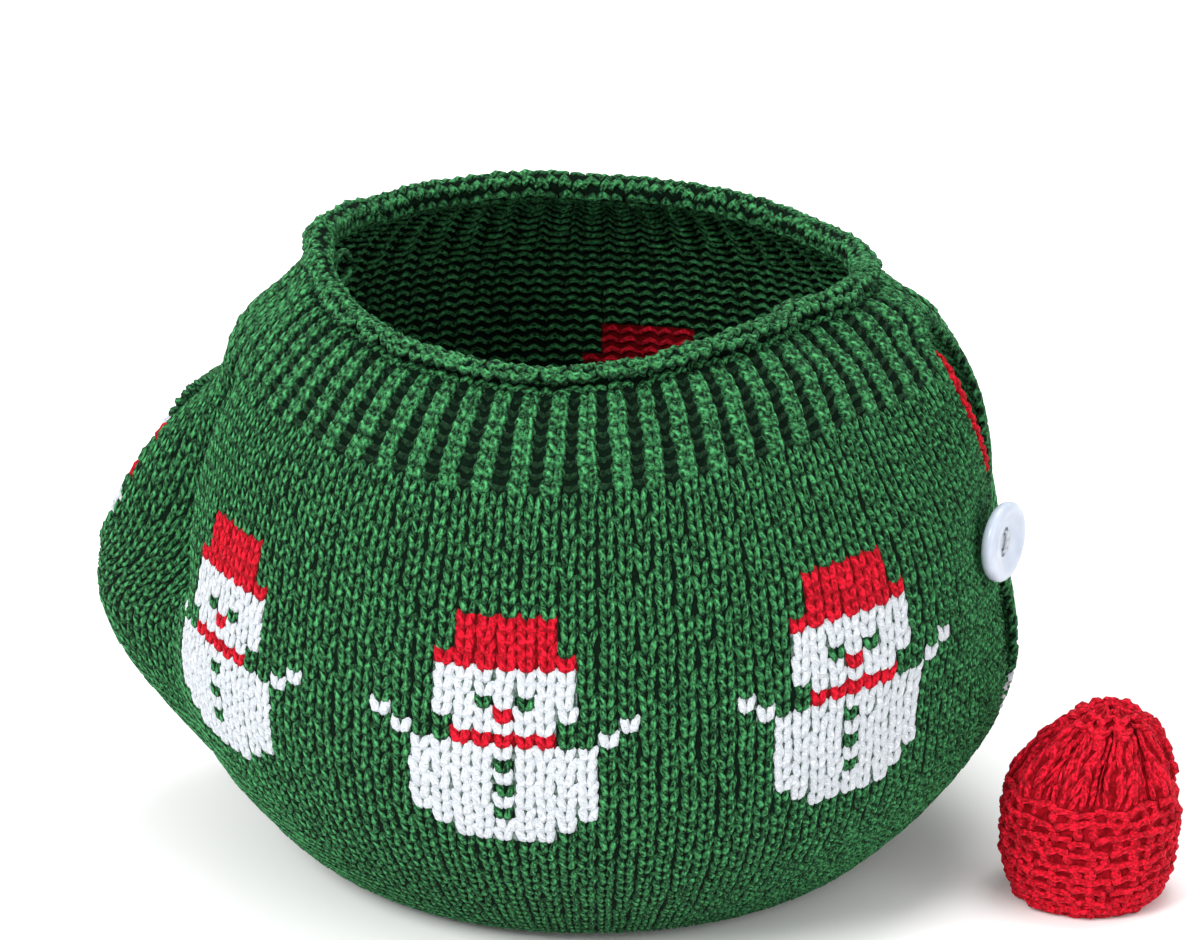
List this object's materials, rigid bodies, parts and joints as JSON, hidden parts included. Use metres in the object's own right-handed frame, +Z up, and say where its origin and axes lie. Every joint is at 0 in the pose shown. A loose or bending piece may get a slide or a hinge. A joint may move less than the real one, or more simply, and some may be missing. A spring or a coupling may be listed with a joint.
{
  "type": "tea cosy",
  "caption": "Knitted tea cosy of two panels with ribbed neck, openings for spout and handle, side button, winter motif and separate lid knob cover.",
  "frame": {"origin": "centre of the bottom of the bounding box, on the surface that the hem rests on", "axes": "+Z up, the spout opening faces -X, the handle openings face +X, the front panel with the button faces -Y"},
  "size_m": [0.232, 0.179, 0.1337],
  "materials": {
    "green_knit": "matt acrylic knit",
    "red_knit": "matt acrylic knit",
    "button_white": "satin white"
  },
  "bodies": {
    "root": {"front_panel": "green_knit", "back_panel": "green_knit", "knob_cover": "red_knit", "button": "button_white"}
  },
  "joints": []
}
